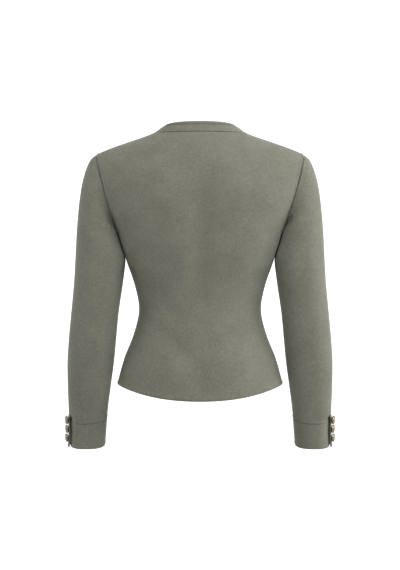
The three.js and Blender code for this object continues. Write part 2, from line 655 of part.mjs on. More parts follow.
// Places and directions of the left cuff's buttons, from the cuff up.
function cuffButtonSeats() {
  const { atHeight } = sleeveStations();
  return Array.from({ length: CUFF_BUTTON.count }, (_, i) => {
    const section = sleeveSection(atHeight(CUFF_BUTTON.aboveCuff + i * CUFF_BUTTON.spacing));
    const angle = radians(CUFF_BUTTON.turn);
    const on = sleevePoint(section, angle);
    const tangent = sleevePoint(section, angle - 0.1).sub(sleevePoint(section, angle + 0.1));
    const normal = tangent.cross(section.half.clone().cross(section.back)).normalize();
    if (normal.x < 0) normal.negate();
    const lifted = VENT.lift * (1 - smooth(VENT.edge - CUFF_BUTTON.turn, 0, VENT.flare));
    on.addScaledVector(normal, lifted);
    return { point: on, normal: normal.applyAxisAngle(Z, radians(CUFF_BUTTON.tilt)) };
  });
}

// ---- the garment ---------------------------------------------------------------------------------
const blazer = new THREE.Group();
blazer.add(named("back", backPanel(), knit()));
blazer.add(named("front_right", panel(FRONT, frontTurns(-1)), knit()));
blazer.add(named("front_left", panel(FRONT, frontTurns(1), underLap), knit()));
const sleeve = leftSleeve();
blazer.add(named("sleeve_left", sleeve, knit()));
blazer.add(named("sleeve_right", mirrored(sleeve), knit()));
blazer.add(named("neckband", neckStrip(BAND, [0, 1]), knit()));
blazer.add(named("neck_roll", neckStrip(ROLL, [0, 0.25, 0.75, 1]), knit()));
blazer.add(...frontButtons());
cuffButtonSeats().forEach(({ point, normal }, i) => {
  const left = placed(CUFF_BUTTON.radius, point, normal);
  blazer.add(named(`cuff_button_left_${i + 1}`, left, metal()));
  blazer.add(named(`cuff_button_right_${i + 1}`, mirrored(left), metal()));
});

export default blazer;
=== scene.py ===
"""Looks of the knit blazer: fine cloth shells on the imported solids, materials and a studio."""

import math

import bpy
import numpy as np
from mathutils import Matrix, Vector


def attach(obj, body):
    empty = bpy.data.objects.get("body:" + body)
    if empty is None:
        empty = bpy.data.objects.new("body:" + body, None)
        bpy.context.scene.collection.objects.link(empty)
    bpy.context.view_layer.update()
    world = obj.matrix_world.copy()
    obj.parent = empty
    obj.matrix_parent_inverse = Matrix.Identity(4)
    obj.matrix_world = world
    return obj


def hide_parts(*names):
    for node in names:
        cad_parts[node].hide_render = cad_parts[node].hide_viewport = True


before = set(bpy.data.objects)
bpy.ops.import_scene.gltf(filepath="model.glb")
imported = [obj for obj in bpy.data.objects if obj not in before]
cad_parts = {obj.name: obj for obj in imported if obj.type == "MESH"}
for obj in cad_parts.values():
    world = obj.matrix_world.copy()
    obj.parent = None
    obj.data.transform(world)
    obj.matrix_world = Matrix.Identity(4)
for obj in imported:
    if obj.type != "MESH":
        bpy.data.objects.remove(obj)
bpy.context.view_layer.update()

# ---- sizes in millimetres, as in the part's source but for VENT and ROLL ---------------------
CLOTH, HEM_CLOTH, CUFF_HEM_CLOTH = 2.2, 3.8, 2.8
HEM_DEPTH, CUFF_HEM_DEPTH = 32, 47
SEAM_GAP = 0.3
HEM_Z, WAIST_Z, UNDERARM_Z, UNDERARM_X = -492, -348, -200, 158.6
TIP_X, TIP_Z, NECK_X, NECK_Z = 202, -46, 87, -4
SHOULDER_DROP, TIP_DROP, SHOULDER_REACH, NECK_FLARE = 38.5, 3.5, 232, 2.2
TIP_TURN, FLARE_FADE, FLARE_TURN = 6, 14, 12
ARMHOLE_BOW = 2.5
ARC_Z = -150
OVERLAP, FRONT_EDGE_GAP, BUTTON_GAP = 20, 0.5, 0.8
NECK_ROUND, NECK_FALL, NECK_SPREAD, NECK_BASE_SHARE = 2.1, 1.35, 1.25, 0.51
TOP = ARC_Z + 100
QUARTER = math.pi / 2
MM = 0.001
UP = np.array([0.0, 0, 1])

BODY_ROWS = [  # z, width, back, front, round
    (-492, 161.0, 102.5, 100, 2.25),
    (-442, 147.0, 96, 101, 2.3),
    (-395, 128.7, 87.5, 99, 2.2),
    (-348, 118.4, 81, 97, 2.2),
    (-302, 126.0, 83, 102, 2.35),
    (-255, 142.0, 91, 109, 2.6),
    (-225, 151.8, 96, 113, 2.75),
    (-200, 158.9, 98, 113, 2.85),
    (-175, 171.5, 99.5, 109, 2.85),
    (-150, 185.0, 100, 106, 2.8),
]
SLEEVE_ROWS = [  # outX, outZ, inX, inZ, deep, y
    (202.0, -46, 158.6, -200, 52, 0),
    (213.0, -56, 157.4, -206, 53, 0.5),
    (222.6, -77, 155.0, -214, 54, 1.5),
    (230.2, -108, 152.2, -223, 55, 3),
    (235.2, -145, 149.0, -234, 56, 5),
    (239.2, -196, 145.3, -247, 57, 9),
    (241.8, -250, 145.6, -262, 56.5, 11),
    (244.6, -298, 151.0, -304, 54.5, 12),
    (249.4, -348, 158.0, -352, 52.5, 10),
    (254.2, -397, 162.8, -400, 50.5, 7),
    (257.9, -446, 167.6, -448, 48, 0),
    (258.0, -494, 174.2, -495, 45.5, -8),
    (257.0, -540, 180.4, -540, 43, -17),
    (256.0, -580, 183.8, -580, 41.5, -24),
    (257.4, -613.5, 186.6, -613.5, 40.5, -29),
]
SLEEVE_ROUND, CAP_BLEND = 2.45, 5
# The vent's edge, tuck, flare and fade are in degrees. Its layers lie closer together here than in
# the part's source, and the roll starts lower, because the solids' gaps would show as light lines.
VENT = {
    "height": 66, "edge": 30, "tuck": 28, "lift": 3.3,
    "sink": 3.2, "flare": 40, "fade": 46, "part": 7,
}
BAND = {
    "foot": 0.3, "height": 15.2, "sides": 1, "thick": 2.4, "ends": 0.82, "inset": 0, "groove": 0,
}
ROLL = {
    "foot": 15.6, "height": 8.5, "sides": 0.42, "thick": 3.4, "ends": 0.15, "inset": -0.3,
    "groove": 1.9,
}
GROOVE_WIDTH = 1.3  # of the groove at the roll's foot
LEAN_BACK, LEAN_SIDE, LEAN_FRONT = 27, 52, 40
CUFF_BUTTON = {"radius": 8.3, "turn": 20, "tilt": 12, "spacing": 17.7, "count": 3, "above": 18.5}
FRONT_BUTTON = {"radius": 10.5, "top": -113, "spacing": 76, "count": 5}

BACK = {
    "sign": 1, "column": "back", "neckDepth": 50, "neckDrop": 0, "hemDip": 28,
    "arcNeck": 2.1, "arcTip": 2.3,
    "forms": [(74, -112, 4.5, 40, 50), (0, -215, -5.0, 24, 110), (62, -455, 4.0, 42, 52)],
    "folds": [
        (114, -364, 26, -438, 3.6, 20),
        (-114, -352, -52, -398, 1.6, 14),
        (112, -225, 98, -330, 2.4, 16),
        (-116, -232, -104, -300, 1.6, 14),
        (6, -452, -4, -505, 2.0, 20),
    ],
}
FRONT = {
    "sign": -1, "column": "front", "neckDepth": 68, "neckDrop": 82, "hemDip": 14,
    "arcNeck": 1.3, "arcTip": 2.3,
    "forms": [(80, -232, 12.0, 46, 48), (0, -226, 6.0, 54, 52), (0, -420, 3.0, 60, 60)],
    "folds": [(108, -352, 48, -396, 2.2, 14), (-110, -346, -58, -384, 1.8, 14)],
}
# Creases that only the fine shells carry: x and z of both ends, depth (below zero for a ridge)
# and width.
BACK_CREASES = [
    (142, -182, 118, -264, 2.2, 9),
    (-136, -196, -119, -258, 1.3, 6),
    (121, -330, 84, -352, 0.9, 6),
    (-119, -334, -88, -349, 0.7, 6),
    (118, -372, 66, -412, -0.8, 8),
    (-117, -368, -74, -396, -0.6, 7),
]
FRONT_CREASES = [
    (146, -196, 112, -226, 1.6, 8),
    (-144, -204, -118, -240, 1.3, 7),
    (119, -332, 78, -346, 0.9, 6),
    (-118, -336, -82, -352, 0.8, 6),
]
# On the sleeves, x counts outward. The first ones are the folds behind each armpit.
LEFT_CREASES = [
    (192, -126, 162, -186, 6.8, 7),
    (186, -186, 164, -192, -2.0, 6),
    (199, -168, 172, -190, 1.6, 5),
    (156, -318, 190, -336, 0.8, 9),
    (158, -352, 184, -360, 0.7, 8),
]
RIGHT_CREASES = [
    (174, -170, 160, -190, 8.0, 3.0),
    (192, -172, 164, -194, -2.4, 8),
    (160, -306, 186, -330, 0.7, 9),
    (166, -372, 196, -362, 0.6, 8),
]
FRONT_SLEEVE_CREASES = [
    (168, -184, 204, -150, 2.2, 8),
    (172, -206, 194, -186, 1.4, 7),
    (158, -322, 196, -334, 1.2, 9),
    (162, -352, 206, -352, 1.4, 10),
    (164, -380, 192, -372, 0.9, 9),
]
# A crease keeps its depth within this share of its length on either side of its middle.
CREASE_EVEN, CREASE_TAPER = 0.3, 2.2
# Creases die down within these distances of the side seam and of the sleeve's two side lines.
CREASE_FADE, SLEEVE_CREASE_FADE = (2, 20), (2, 14)
# The large forms grow over this depth behind the side seam and lose this share at the shoulder.
RELIEF_DEPTH, RELIEF_LOSS = 60, 0.75
TURN_STEP, LEVEL_STEP = 0.004, 0.4  # for slopes of the body's surface

# Sewn seams: a valley at the stitches, then a ridge over the allowance.
SEAM_DEPTH, SEAM_WIDTH, NECK_SEAM_WIDTH = 1.0, 1.25, 1.3
RIDGE_AT, RIDGE_WIDTH, SIDE_RIDGE, NECK_RIDGE = 3.8, 1.7, 1.0, 0.35
SLEEVE_RIDGE_FADE = (6, 30)
LOOSER, LOOSER_FROM, LOOSER_TO = 0.55, 80, 125  # the armhole's seam, by depth below the neck
SEAM_TURN = 9  # width over which a wall's edge turns to meet its seam squarely
SIDE_CROWDING = 1.5  # gathers the body's columns toward the side edge

# Hems, the lap, the rolls at the crevice under each arm, the line over a cuff's hem, free edges.
HEM_EASE, CUFF_HEM_EASE = 6, 4  # half the height over which a hem gets thicker
LAP_EASE = (2, 26)  # beyond the lap, where the left front comes up to its own surface
HEM_ROLL = {"high": 0.7, "at": 4.2, "wide": 2}
LIP = {"high": 3.3, "behind": 43, "wide": 10, "starts": (-280, -255), "ends": (-214, -166)}
CUFF_LINE = {"above": 3.0, "slope": 4.5, "fades": (8, 34)}
LINE_RIDGE = {"high": 0.9, "at": 2.6, "wide": 1.5}
LINE_VALLEY = {"deep": 1.7, "wide": 1.2}
EDGE_FLAT = 0.06  # left flat in the middle of a rounded free edge


# ---- small helpers ---------------------------------------------------------------------------
def lerp(a, b, t):
    return a + (b - a) * t


def smooth(value, low, high):
    """0 below low, 1 above high, and a soft step between."""
    t = np.clip((np.asarray(value, float) - low) / (high - low), 0, 1)
    return t * t * (3 - 2 * t)


def bell(distance, wide):
    """A smooth bump of height 1."""
    return np.exp(-((distance / wide) ** 2))


def power(value, exponent):
    """A power that keeps the sign, for rounded boxes (superellipses)."""
    return np.sign(value) * np.abs(value) ** exponent


def unit(v):
    return v / np.maximum(np.linalg.norm(v, axis=-1, keepdims=True), 1e-12)


class Table:
    """Columns of numbers over a rising key, read on a cubic through the rows."""

    def __init__(self, names, rows):
        data = np.array(rows, float).T
        self.key = data[0]
        self.values = dict(zip(names, data[1:]))

    def at(self, name, where):
        k, v = self.key, self.values[name]
        where = np.asarray(where, float)
        last = len(k) - 1
        i = np.clip(np.searchsorted(k, where, side="left") - 1, 0, last - 1)

        def slope(j):
            a, b = np.maximum(j - 1, 0), np.minimum(j + 1, last)
            return (v[b] - v[a]) / (k[b] - k[a])

        span = k[i + 1] - k[i]
        t = np.clip((where - k[i]) / span, 0, 1)
        return (
            v[i] * (1 + 2 * t) * (1 - t) ** 2
            + v[i + 1] * t * t * (3 - 2 * t)
            + span * (slope(i) * t * (1 - t) ** 2 + slope(i + 1) * t * t * (t - 1))
        )


BODY = Table(["width", "back", "front", "round"], BODY_ROWS)
SLEEVE = Table(
    ["outX", "outZ", "inX", "inZ", "deep", "y"], [(i, *row) for i, row in enumerate(SLEEVE_ROWS)]
)


def solve(rising, low, high):
    """Root of a rising function, for each entry of an array."""
    for _ in range(40):
        middle = (low + high) / 2
        over = rising(middle) > 0
        low, high = np.where(over, low, middle), np.where(over, middle, high)
    return (low + high) / 2


def round_edge(distance, radius):
    """How far a wall's face falls back toward its middle near a rounded free edge."""
    t = np.clip(1 - distance / radius, 0, 1)
    return radius * (1 - np.sqrt(1 - t * t))


def troughs(lines, x, z):
    """Depth of soft troughs along lines on a face."""
    depth = np.zeros(np.broadcast(x, z).shape)
    for x0, z0, x1, z1, deep, wide in lines:
        dx, dz = x1 - x0, z1 - z0
        along = ((x - x0) * dx + (z - z0) * dz) / (dx * dx + dz * dz)
        near = np.clip(along, 0, 1)
        away = np.hypot(x - x0 - near * dx, z - z0 - near * dz)
        taper = np.maximum(0, np.abs(along - 0.5) - CREASE_EVEN) * CREASE_TAPER
        depth += deep * np.exp(-(taper**2)) * bell(away, wide)
    return depth


# ---- the body's surface ----------------------------------------------------------------------
def ring(side, turn, z):
    """Half width and depth of the body at a turn from its middle and a height up to ARC_Z."""
    exponent = 2 / BODY.at("round", z)
    return (
        BODY.at("width", z) * power(np.sin(turn), exponent),
        BODY.at(side["column"], z) * power(np.cos(turn), exponent),
    )


FULL_WIDTH = float(ring(BACK, QUARTER, ARC_Z)[0])


def shoulder_z(x):
    share = (x - NECK_X) / (TIP_X - NECK_X)
    slope = NECK_Z - SHOULDER_DROP * share - TIP_DROP * share**TIP_TURN
    return slope + NECK_FLARE * np.exp(-FLARE_FADE * share)


def top_edge(side, base_x):
    """Point of the neck's or shoulder's edge over each half width of the ring at ARC_Z."""
    neck_base = FULL_WIDTH * NECK_BASE_SHARE
    on_shoulder = base_x > neck_base
    x = lerp(NECK_X, SHOULDER_REACH, np.maximum(base_x - neck_base, 0) / (FULL_WIDTH - neck_base))
    angle = np.clip(base_x / neck_base, 0, 1) ** NECK_SPREAD * QUARTER
    exponent = 2 / NECK_ROUND
    cos, sin = np.maximum(np.cos(angle), 0), np.sin(angle)
    neck_z = NECK_Z - side["neckDrop"] * cos**NECK_FALL + NECK_FLARE * sin**FLARE_TURN
    return (
        np.where(on_shoulder, x, NECK_X * sin**exponent),
        np.where(on_shoulder, 0, side["neckDepth"] * cos**exponent),
        np.where(on_shoulder, shoulder_z(x), neck_z),
    )


def body_base(side, turn, level):
    """The body without its forms and folds: rings up to ARC_Z, then arcs up to the top edge."""
    turn, level = np.broadcast_arrays(np.asarray(turn, float), np.asarray(level, float))
    half = np.abs(turn)
    x0, y0 = ring(side, half, np.minimum(level, ARC_Z))
    dip = side["hemDip"] * np.cos(half) ** 2 * (1 - smooth(level, HEM_Z, WAIST_Z))
    tx, ty, tz = top_edge(side, x0)
    outward = smooth(x0 / FULL_WIDTH, NECK_BASE_SHARE * 0.8, 1)
    exponent = 2 / lerp(side["arcNeck"], side["arcTip"], outward)
    share = np.minimum(ty / np.maximum(y0, 1e-6), 1)
    end = np.arccos(np.minimum(share ** (1 / exponent), 1))
    climb = np.clip((level - ARC_Z) / (TOP - ARC_Z), 0, 1)
    angle = end * climb
    rise = np.where(end > 1e-4, (np.sin(angle) / np.maximum(np.sin(end), 1e-9)) ** exponent, climb)
    y = np.where(y0 < 1e-6, 0, y0 * np.maximum(np.cos(angle), 0) ** exponent)
    above = level > ARC_Z
    return np.stack(
        [
            np.where(above, lerp(x0, tx, rise), x0) * np.where(turn < 0, -1, 1),
            np.where(above, y, y0),
            np.where(above, lerp(ARC_Z, tz, rise), level - dip),
        ],
        -1,
    )


def relief(side, x, z):
    height = np.zeros(np.broadcast(x, z).shape)
    for at_x, at_z, lift, wide, high in side["forms"]:
        height += lift * np.exp(-(((np.abs(x) - at_x) / wide) ** 2) - ((z - at_z) / high) ** 2)
    return height - troughs(side["folds"], x, z)


def body_point(side, turn, level):
    p = body_base(side, turn, level)
    fade = smooth(p[..., 1], 0, RELIEF_DEPTH) * (1 - RELIEF_LOSS * smooth(level, ARC_Z, TOP))
    p[..., 1] = side["sign"] * (p[..., 1] + relief(side, p[..., 0], p[..., 2]) * fade)
    return p


def body_normal(side, turn, level):
    turn, level = np.broadcast_arrays(np.asarray(turn, float), np.asarray(level, float))
    across = body_point(side, np.minimum(turn + TURN_STEP, QUARTER), level) - body_point(
        side, np.maximum(turn - TURN_STEP, -QUARTER), level
    )
    up = body_point(side, turn, np.minimum(level + LEVEL_STEP, TOP)) - body_point(
        side, turn, np.maximum(level - LEVEL_STEP, HEM_Z)
    )
    return unit(np.cross(across, up) * -side["sign"])


# ---- armhole ---------------------------------------------------------------------------------
def armhole_x(z):
    """The armhole's line in the view from behind."""
    share = np.clip((z - UNDERARM_Z) / (TIP_Z - UNDERARM_Z), 0, 1)
    return lerp(UNDERARM_X, TIP_X, share) + ARMHOLE_BOW * np.sin(share * math.pi)


def edge_turn(side, level):
    """Turn at which the body ends: the side seam, and the armhole above it."""
    level = np.asarray(level, float)

    def past(turn):
        p = body_base(side, turn, level)
        return p[..., 0] - armhole_x(p[..., 2])

    found = solve(past, np.full(level.shape, 0.2), np.full(level.shape, QUARTER))
    return np.where(level <= UNDERARM_Z, QUARTER, found)


ARMHOLE_MIDDLE = np.array([(TIP_X + UNDERARM_X) / 2, 0, (TIP_Z + UNDERARM_Z) / 2])
ARMHOLE_AXIS = unit(np.array([TIP_Z - UNDERARM_Z, 0, -(TIP_X - UNDERARM_X)], float))


def armhole_outward(point):
    out = point - ARMHOLE_MIDDLE
    return unit(out - (out @ ARMHOLE_AXIS)[..., None] * ARMHOLE_AXIS)


# Levels of the rows, close together at the hem and at the seams.
LEVELS = np.concatenate(
    [
        HEM_Z + np.array([0, 0.25, 0.7, 1.2, 1.9, 2.8, 4.0, 5.6]),
        np.linspace(HEM_Z + 7.6, UNDERARM_Z, 100)[:-1],
        lerp(UNDERARM_Z, ARC_Z, (np.arange(22) / 22) ** 1.3),
        np.linspace(ARC_Z, TOP - 6, 56),
        TOP - np.array([4.6, 3.5, 2.6, 1.8, 1.1, 0.5, 0]),
    ]
)


def neck_frame(point):
    """Directions up the band and out of it at points of the neck seam."""
    behind = point[..., 1] > 0
    depth = np.where(behind, BACK["neckDepth"], FRONT["neckDepth"])
    inward = unit(np.stack([-point[..., 0] / NECK_X**2, -point[..., 1] / depth**2, 0 * depth], -1))
    middle = np.where(behind, LEAN_BACK, LEAN_FRONT)
    lean = np.radians(lerp(LEAN_SIDE, middle, smooth(np.abs(inward[..., 1]), 0.5, 1)))[..., None]
    return inward * np.sin(lean) + UP * np.cos(lean), -inward * np.cos(lean) + UP * np.sin(lean)


# ---- meshes ----------------------------------------------------------------------------------
def run(grid, axis):
    """Length along a grid's lines up to each of its points."""
    step = np.linalg.norm(np.diff(grid, axis=axis), axis=-1)
    start = np.zeros_like(np.take(step, [0], axis))
    return np.concatenate([start, np.cumsum(step, axis)], axis)


def ends(length, axis):
    """Distance to the first and to the last point of each line of a grid."""
    return length, np.take(length, [-1], axis) - length


def wall(name, outer, inner, uv, material, split=-1):
    """A closed wall between two grids; rows up to the row "split" close on themselves."""
    rows, cols = outer.shape[:2]
    count = rows * cols
    o = np.arange(count).reshape(rows, cols)
    i = o + count
    faces = [
        np.stack([o[:-1, :-1], o[:-1, 1:], o[1:, 1:], o[1:, :-1]], -1).reshape(-1, 4),
        np.stack([i[:-1, :-1], i[1:, :-1], i[1:, 1:], i[:-1, 1:]], -1).reshape(-1, 4),
    ]
    flat_from = sum(len(f) for f in faces)
    r = np.arange(max(split, 0), rows - 1)
    faces += [
        np.stack([o[r, 0], o[r + 1, 0], i[r + 1, 0], i[r, 0]], -1),
        np.stack([i[r, -1], i[r + 1, -1], o[r + 1, -1], o[r, -1]], -1),
        np.stack([o[0, 1:], o[0, :-1], i[0, :-1], i[0, 1:]], -1),
        np.stack([o[-1, :-1], o[-1, 1:], i[-1, 1:], i[-1, :-1]], -1),
    ]
    faces = np.concatenate(faces)
    points = np.concatenate([outer.reshape(-1, 3), inner.reshape(-1, 3)]) * MM
    joined = np.arange(2 * count)
    if split >= 0:
        joined[o[: split + 1, -1]] = o[: split + 1, 0]
        joined[i[: split + 1, -1]] = i[: split + 1, 0]
    loops = np.tile(uv.reshape(-1, 2), (2, 1))[faces.reshape(-1)]
    faces = joined[faces]
    a, b, c, d = (points[faces[:, k]] for k in range(4))
    if np.sum(a * np.cross(b, c)) + np.sum(a * np.cross(c, d)) < 0:
        faces = faces[:, ::-1]
        loops = loops.reshape(-1, 4, 2)[:, ::-1].reshape(-1, 2)
    used, back = np.unique(faces.reshape(-1), return_inverse=True)
    mesh = bpy.data.meshes.new(name)
    mesh.from_pydata(points[used].tolist(), [], back.reshape(-1, 4).tolist())
    mesh.uv_layers.new(name="cloth").data.foreach_set("uv", loops.astype(np.float32).reshape(-1))
    shaded = np.ones(len(faces), bool)
    shaded[flat_from:] = False
    mesh.polygons.foreach_set("use_smooth", shaded)
    return piece(name, mesh, material)


def piece(name, mesh, *materials):
    obj = bpy.data.objects.new(name, mesh)
    bpy.context.scene.collection.objects.link(obj)
    for material in materials:
        mesh.materials.append(material)
    return obj


def belongs(obj, node):
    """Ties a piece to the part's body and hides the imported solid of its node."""
    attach(obj, "root")
    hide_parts(node)
    return obj


# ---- materials -------------------------------------------------------------------------------
class Nodes:
    """A material's node tree, with short ways to add nodes."""

    def __init__(self, name):
        self.material = bpy.data.materials.new(name)
        self.material.use_nodes = True
        self.tree = self.material.node_tree
        self.shader = self.tree.nodes["Principled BSDF"]

    def add(self, kind, inputs=None, **settings):
        node = self.tree.nodes.new(kind)
        for key, value in settings.items():
            setattr(node, key, value)
        for key, value in (inputs or {}).items():
            self.put(value, node.inputs[key])
        return node

    def put(self, value, socket):
        if isinstance(value, bpy.types.NodeSocket):
            self.tree.links.new(value, socket)
        else:
            socket.default_value = value

    def math(self, operation, *values):
        node = self.add("ShaderNodeMath", dict(enumerate(values)), operation=operation)
        return node.outputs[0]

    def total(self, *terms):
        """Sum of values, each times its weight."""
        result = None
        for value, weight in terms:
            term = self.math("MULTIPLY", value, weight)
            result = term if result is None else self.math("ADD", result, term)
        return result

    def place(self):
        return self.add("ShaderNodeTexCoord").outputs["Object"]

    def noise(self, vector, scale, detail=2.0, roughness=0.5):
        inputs = {"Vector": vector, "Scale": scale, "Detail": detail, "Roughness": roughness}
        return self.add("ShaderNodeTexNoise", inputs).outputs["Fac"]

    def spread(self, value, low, high, to_low=0.0, to_high=1.0):
        inputs = {
            "Value": value, "From Min": low, "From Max": high, "To Min": to_low, "To Max": to_high
        }
        return self.add("ShaderNodeMapRange", inputs).outputs["Result"]

    def mix(self, factor, a, b):
        node = self.add("ShaderNodeMix", data_type="RGBA")
        factor_socket, a_socket, b_socket, result = 0, 6, 7, 2
        self.put(factor, node.inputs[factor_socket])
        self.put((*a, 1), node.inputs[a_socket])
        self.put((*b, 1), node.inputs[b_socket])
        return node.outputs[result]

    def drive(self, name, value):
        """Link a value to an input of the shader."""
        self.put(value, self.shader.inputs[name])

    def bump(self, height, strength, distance):
        inputs = {"Height": height, "Strength": strength, "Distance": distance}
        self.drive("Normal", self.add("ShaderNodeBump", inputs).outputs["Normal"])


STITCH_WIDTH, STITCH_HEIGHT = 0.0017, 0.00135
YARN_DARK, YARN_LIGHT = (0.098, 0.099, 0.076), (0.252, 0.253, 0.203)
BRONZE_DARK, BRONZE_WORN = (0.012, 0.009, 0.006), (0.12, 0.088, 0.055)
PEARL_DARK, PEARL_LIGHT = (0.2, 0.162, 0.112), (0.44, 0.37, 0.272)


def knit_material():
    """Fine double knit: stitches in columns, two tones of grey-green yarn, a short soft nap."""
    n = Nodes("knit")
    uv = n.add("ShaderNodeUVMap", uv_map="cloth").outputs["UV"]
    place = n.place()
    apart = n.add("ShaderNodeSeparateXYZ", {"Vector": uv})
    drift = n.noise(place, 95.0, 1.0)
    wale = n.total((apart.outputs["X"], 1 / STITCH_WIDTH), (drift, 1.1))
    across = n.math("ABSOLUTE", n.math("SUBTRACT", n.math("FRACT", wale), 0.5))
    legs = n.total((apart.outputs["Y"], 1 / STITCH_HEIGHT), (across, 1.5))
    yarn = n.math("SINE", n.math("MULTIPLY", legs, 2 * math.pi))
    column = n.math("SINE", n.math("MULTIPLY", across, 2 * math.pi))
    stitch = n.total((yarn, 0.28), (column, 0.6))
    fluff = n.noise(place, 1500.0, 3.0, 0.65)
    slub = n.noise(place, 260.0, 3.0, 0.6)
    cloud = n.noise(place, 24.0, 3.0, 0.55)

    tone = n.total((fluff, 0.42), (slub, 0.48), (cloud, 0.22), (stitch, 0.05))
    n.drive("Base Color", n.mix(n.spread(tone, 0.28, 0.80), YARN_DARK, YARN_LIGHT))
    n.drive("Roughness", n.spread(fluff, 0.3, 0.7, 0.86, 0.98))
    n.bump(n.total((stitch, 0.55), (fluff, 0.9), (slub, 0.8)), 0.75, 0.00035)
    n.shader.inputs["Specular IOR Level"].default_value = 0.15
    n.shader.inputs["Sheen Weight"].default_value = 0.22
    n.shader.inputs["Sheen Roughness"].default_value = 0.45
    n.shader.inputs["Sheen Tint"].default_value = (0.9, 0.9, 0.82, 1)
    return n.material


def bronze_material():
    """Antique bronze: worn bright on what stands out, brown in the recesses."""
    n = Nodes("antique_bronze")
    place = n.place()
    patina = n.noise(place, 420.0, 4.0, 0.6)
    edges = n.spread(n.add("ShaderNodeNewGeometry").outputs["Pointiness"], 0.49, 0.56)
    worn = n.spread(n.total((edges, 0.6), (patina, 0.4)), 0.2, 0.75)
    n.drive("Base Color", n.mix(worn, BRONZE_DARK, BRONZE_WORN))
    n.drive("Roughness", n.spread(patina, 0.3, 0.7, 0.24, 0.5))
    n.bump(n.noise(place, 1900.0, 2.0), 0.25, 0.0001)
    n.shader.inputs["Metallic"].default_value = 0.95
    return n.material


def pearl_material():
    """The pale, pearly dome, with a faint cloudy grain."""
    n = Nodes("pearl_dome")
    cloud = n.noise(n.place(), 300.0, 4.0, 0.6)
    n.drive("Base Color", n.mix(n.spread(cloud, 0.3, 0.7), PEARL_DARK, PEARL_LIGHT))
    n.drive("Roughness", n.spread(cloud, 0.3, 0.7, 0.16, 0.3))
    n.bump(cloud, 0.15, 0.0002)
    n.shader.inputs["Metallic"].default_value = 0.45
    n.shader.inputs["Coat Weight"].default_value = 0.6
    n.shader.inputs["Coat Roughness"].default_value = 0.1
    return n.material


KNIT = knit_material()
BRONZE = bronze_material()
PEARL = pearl_material()

# ---- back and fronts -------------------------------------------------------------------------
NECK_TURN = math.asin(NECK_BASE_SHARE ** (float(BODY.at("round", ARC_Z)) / 2)) / QUARTER
SIDE_SHARES = np.concatenate(
    [
        np.linspace(NECK_TURN, 0.972, 58)[1:],
        [0.979, 0.985, 0.9895, 0.9925, 0.995, 0.997, 0.9985, 1.0],
    ]
)


def side_turns(edge):
    """Turns of the columns from the corner at the neck to the side edge, a row for each level."""
    past = (SIDE_SHARES - NECK_TURN) / (1 - NECK_TURN)
    return SIDE_SHARES * QUARTER - (QUARTER - edge[:, None]) * past**SIDE_CROWDING


def valley(distance, wide, ridge):
    """Outer face beside a sewn seam: drawn in at the stitches, a soft ridge over the allowance."""
    return ridge * bell(distance - RIDGE_AT, RIDGE_WIDTH) - SEAM_DEPTH * bell(distance, wide)


def drawn_in(z):
    """How tightly the armhole is sewn: most over the shoulder, less toward the underarm."""
    return 1 - LOOSER * smooth(-z, LOOSER_FROM, LOOSER_TO)


def hem_roll(distance):
    return HEM_ROLL["high"] * bell(distance - HEM_ROLL["at"], HEM_ROLL["wide"])


def lip(point):
    """Soft roll on both sides of the crevice where the sleeve lies against the body's side."""
    y, z = point[..., 1], point[..., 2]
    high = LIP["high"] * bell(y - LIP["behind"], LIP["wide"])
    return high * smooth(z, *LIP["starts"]) * (1 - smooth(z, *LIP["ends"]))


def at_neck(point):
    """Whether points of the top edge belong to the neck's opening, not to a shoulder."""
    return np.abs(point[..., 0]) < NECK_X + 0.5


def under_lap(x, thick):
    """How deep the left front and its end of the neckband lie under the right ones."""
    begins, done = LAP_EASE
    return (thick + FRONT_EDGE_GAP) * (1 - smooth(x, OVERLAP + begins, OVERLAP + done))


def panel(name, side, turns, creases, loose_first=False, sunk=None):
    """Wall of the back or a front. "loose_first" says that its first upright edge is free, and
    "sunk" gives how deep the panel lies under another.
    """
    level = np.broadcast_to(LEVELS[:, None], turns.shape)
    outer = body_point(side, turns, level)
    normal = body_normal(side, turns, level)
    first, last = ends(run(outer, 1), 1)
    bottom, top = ends(run(outer, 0), 0)
    hand = np.where(turns < 0, -1, 1)[..., None] * np.array([1, 0, 0]) + np.array([0, 1, 1])
    near_side = last if loose_first else np.minimum(first, last)
    beside = 1 - smooth(near_side, 0, SEAM_TURN)
    to_armhole = np.where(level >= UNDERARM_Z, beside, 0)[..., None]
    to_neck = np.where(at_neck(outer[-1:]), 1 - smooth(top, 0, SEAM_TURN), 0)[..., None]
    inward = lerp(normal, armhole_outward(outer * hand) * hand, to_armhole)
    inward = unit(lerp(inward, neck_frame(outer[-1:])[1], to_neck * (1 - to_armhole)))
    hem_top = HEM_Z + HEM_DEPTH
    thick = lerp(HEM_CLOTH, CLOTH, smooth(level, hem_top - HEM_EASE, hem_top + HEM_EASE))
    if sunk is not None:
        outer = outer - inward * sunk(body_base(side, turns, level)[..., 0], thick)[..., None]
    inner = outer - inward * thick[..., None]
    creased = troughs(creases, outer[..., 0], outer[..., 2])
    out = -creased * smooth(np.abs(outer[..., 1]), *CREASE_FADE)
    side_valley = valley(near_side, SEAM_WIDTH, SIDE_RIDGE)
    out = out + lip(outer) + drawn_in(outer[..., 2]) * side_valley + hem_roll(bottom)
    out = out + valley(top, NECK_SEAM_WIDTH, NECK_RIDGE)
    away = np.minimum(bottom, first) if loose_first else bottom
    fall = round_edge(away, thick / 2 - EDGE_FLAT)
    outer = outer + normal * (out - fall)[..., None]
    inner = inner + normal * fall[..., None]
    for grid in (outer, inner):
        grid[..., 1] = side["sign"] * np.maximum(side["sign"] * grid[..., 1], SEAM_GAP / 2)
    across = run(outer, 1)
    middle = np.argmin(np.abs(turns[0]))
    uv = np.stack([across - across[:, [middle]], bottom], -1) * MM
    return wall(name, outer, inner, uv, KNIT)


